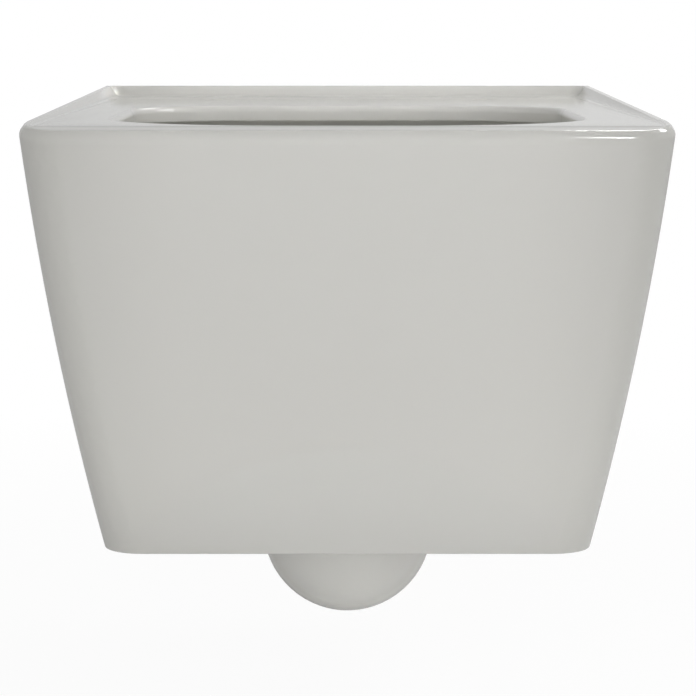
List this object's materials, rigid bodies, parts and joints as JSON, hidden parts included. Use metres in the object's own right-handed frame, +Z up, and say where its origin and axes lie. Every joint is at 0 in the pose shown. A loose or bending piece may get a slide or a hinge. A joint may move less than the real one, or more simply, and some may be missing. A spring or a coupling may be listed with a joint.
{
  "type": "wall hung toilet",
  "caption": "Wall hung toilet pan with a squared tapered skirt, a raised lip around the seat tray, a rimless bowl, a trap below the skirt and concealed side clamps.",
  "frame": {"origin": "middle between the two wall fixings, in the wall plane", "axes": "+X to the right as seen from the front, +Y into the wall, +Z up; the front faces -Y"},
  "size_m": [0.3634, 0.5384, 0.3443],
  "materials": {
    "ceramic": "glossy glaze",
    "rubber": "matte",
    "steel": "zinc plated",
    "sleeve": "moulded",
    "cone": "moulded",
    "cap": "glossy, in the colour of the glaze"
  },
  "bodies": {
    "pan": {"pan_body": "ceramic", "inlet_seal": "rubber", "hanger_bar_right": "steel", "bar_sleeve_right": "sleeve", "hanger_bar_left": "steel", "bar_sleeve_left": "sleeve"},
    "clamp_right": {"clamp_cone_right": "cone", "clamp_washer_right": "steel"},
    "screw_right": {"clamp_screw_right": "steel"},
    "cap_right": {"cover_cap_right": "cap"},
    "clamp_left": {"clamp_cone_left": "cone", "clamp_washer_left": "steel"},
    "screw_left": {"clamp_screw_left": "steel"},
    "cap_left": {"cover_cap_left": "cap"}
  },
  "joints": [
    {"name": "clamp_slide_right", "type": "slide", "parent": "pan", "child": "clamp_right", "axis": [0.9899, 0, -0.1417], "range_m": [0, 0.005]},
    {"name": "screw_turn_right", "type": "hinge", "parent": "clamp_right", "child": "screw_right", "pos_m": [0.09, -0.052, 0], "axis": [0.9899, 0, -0.1417], "range_deg": [0, 1440]},
    {"name": "cap_pull_right", "type": "slide", "parent": "pan", "child": "cap_right", "axis": [0.9899, 0, -0.1417], "range_m": [0, 0.03]},
    {"name": "clamp_slide_left", "type": "slide", "parent": "pan", "child": "clamp_left", "axis": [-0.9899, 0, -0.1417], "range_m": [0, 0.005]},
    {"name": "screw_turn_left", "type": "hinge", "parent": "clamp_left", "child": "screw_left", "pos_m": [-0.09, -0.052, 0], "axis": [-0.9899, 0, -0.1417], "range_deg": [0, 1440]},
    {"name": "cap_pull_left", "type": "slide", "parent": "pan", "child": "cap_left", "axis": [-0.9899, 0, -0.1417], "range_m": [0, 0.03]}
  ],
  "couplings": [
    {"joint": "screw_turn_right", "follows": "clamp_slide_right", "rad_per_m": 5026.5},
    {"joint": "screw_turn_left", "follows": "clamp_slide_left", "rad_per_m": 5026.5}
  ]
}
